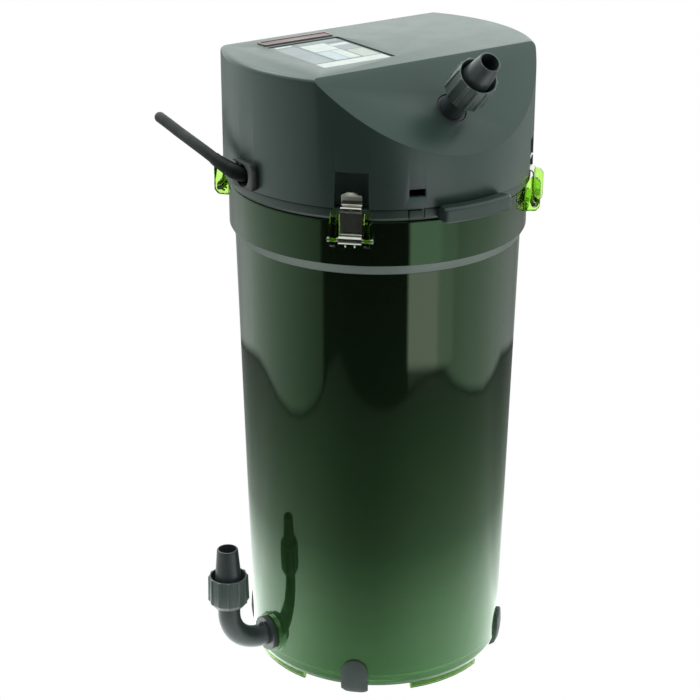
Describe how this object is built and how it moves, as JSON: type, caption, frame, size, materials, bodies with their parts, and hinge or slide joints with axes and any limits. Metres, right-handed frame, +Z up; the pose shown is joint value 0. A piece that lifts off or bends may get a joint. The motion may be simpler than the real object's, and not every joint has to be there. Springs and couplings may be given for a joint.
{
  "type": "canister filter",
  "caption": "Upright aquarium canister filter: translucent canister with a side intake elbow, clipped-on motor head, angled outlet spigot with clamping nut, and a mains cord.",
  "frame": {"origin": "on the canister's axis at floor level, at the centre of the pad under the canister", "axes": "+Z up along the canister, -Y the outlet side, -X the intake side"},
  "size_m": [0.2153, 0.2506, 0.3537],
  "materials": {
    "canister_plastic": "translucent, polished",
    "head_plastic": "fine satin",
    "fitting_plastic": "satin",
    "black_plastic": "satin",
    "foot_rubber": "matt",
    "seal_rubber": "matt",
    "clip_steel": "bright, finely brushed",
    "pin_steel": "drawn wire",
    "blue_foam": "open-cell foam",
    "carbon_felt": "felt",
    "cord_sheath": "smooth PVC",
    "plug_brass": "bright",
    "ceramic_shaft": "ground",
    "ferrite": "plain",
    "core_iron": "varnished laminations",
    "coil_copper": "enamelled copper winding",
    "plain_label": "blank laminated label",
    "badge": "plain raised bar, no mark"
  },
  "bodies": {
    "canister": {"canister": "canister_plastic", "foot_front_left": "foot_rubber", "foot_front_right": "foot_rubber", "foot_rear_right": "foot_rubber", "foot_rear_left": "foot_rubber", "intake_elbow": "fitting_plastic", "intake_seal": "seal_rubber", "intake_lock_nut": "fitting_plastic", "bottom_grid": "black_plastic", "coarse_pad": "blue_foam", "carbon_pad": "carbon_felt", "top_grid": "black_plastic", "clip_pin_front_left": "pin_steel", "clip_pin_front_right": "pin_steel", "clip_pin_rear_right": "pin_steel", "clip_pin_rear_left": "pin_steel", "cord_run": "cord_sheath", "cord_coil": "cord_sheath", "coil_tie": "seal_rubber", "plug_body": "black_plastic", "plug_pin_a": "plug_brass", "plug_pin_b": "plug_brass"},
    "pump_head": {"head_shell": "head_plastic", "rating_plate": "plain_label", "badge_bar": "badge", "head_base": "head_plastic", "head_o_ring": "seal_rubber", "stator_core": "core_iron", "motor_coil": "coil_copper", "impeller_cover": "black_plastic", "bush_lower": "seal_rubber", "shaft": "ceramic_shaft", "bush_upper": "seal_rubber", "outlet_spigot": "fitting_plastic", "outlet_seal": "seal_rubber", "cable_gland": "black_plastic", "strain_relief": "cord_sheath", "head_screw_a": "pin_steel", "head_screw_b": "pin_steel", "head_screw_c": "pin_steel", "head_screw_d": "pin_steel"},
    "impeller": {"impeller": "black_plastic", "magnet_rotor": "ferrite"},
    "intake_nut": {"intake_nut": "fitting_plastic"},
    "outlet_nut": {"outlet_nut": "fitting_plastic"},
    "clip_front_left": {"clip_front_left": "clip_steel"},
    "clip_front_right": {"clip_front_right": "clip_steel"},
    "clip_rear_right": {"clip_rear_right": "clip_steel"},
    "clip_rear_left": {"clip_rear_left": "clip_steel"}
  },
  "joints": [
    {"name": "head_lift", "type": "slide", "parent": "canister", "child": "pump_head", "axis": [0, 0, 1], "range_m": [0, 0.06]},
    {"name": "clip_front_left_hinge", "type": "hinge", "parent": "canister", "child": "clip_front_left", "pos_m": [-0.05812, -0.05812, 0.264], "axis": [0.7071, -0.7071, 0], "range_deg": [0, 100]},
    {"name": "clip_front_right_hinge", "type": "hinge", "parent": "canister", "child": "clip_front_right", "pos_m": [0.05812, -0.05812, 0.264], "axis": [0.7071, 0.7071, 0], "range_deg": [0, 100]},
    {"name": "clip_rear_right_hinge", "type": "hinge", "parent": "canister", "child": "clip_rear_right", "pos_m": [0.05812, 0.05812, 0.264], "axis": [-0.7071, 0.7071, 0], "range_deg": [0, 100]},
    {"name": "clip_rear_left_hinge", "type": "hinge", "parent": "canister", "child": "clip_rear_left", "pos_m": [-0.05812, 0.05812, 0.264], "axis": [-0.7071, -0.7071, 0], "range_deg": [0, 100]},
    {"name": "impeller_spin", "type": "hinge", "parent": "pump_head", "child": "impeller", "pos_m": [0, 0, 0.29], "axis": [0, 0, 1], "continuous": true},
    {"name": "intake_nut_turn", "type": "hinge", "parent": "canister", "child": "intake_nut", "pos_m": [-0.097, 0, 0.058], "axis": [0, 0, 1], "continuous": true},
    {"name": "outlet_nut_turn", "type": "hinge", "parent": "pump_head", "child": "outlet_nut", "pos_m": [0, -0.07534, 0.33544], "axis": [0, -0.7071, 0.7071], "continuous": true}
  ],
  "couplings": [
    {"joint": "clip_front_left_hinge", "follows": "head_lift", "rad_per_m": 28},
    {"joint": "clip_front_right_hinge", "follows": "head_lift", "rad_per_m": 28},
    {"joint": "clip_rear_right_hinge", "follows": "head_lift", "rad_per_m": 28},
    {"joint": "clip_rear_left_hinge", "follows": "head_lift", "rad_per_m": 28}
  ]
}
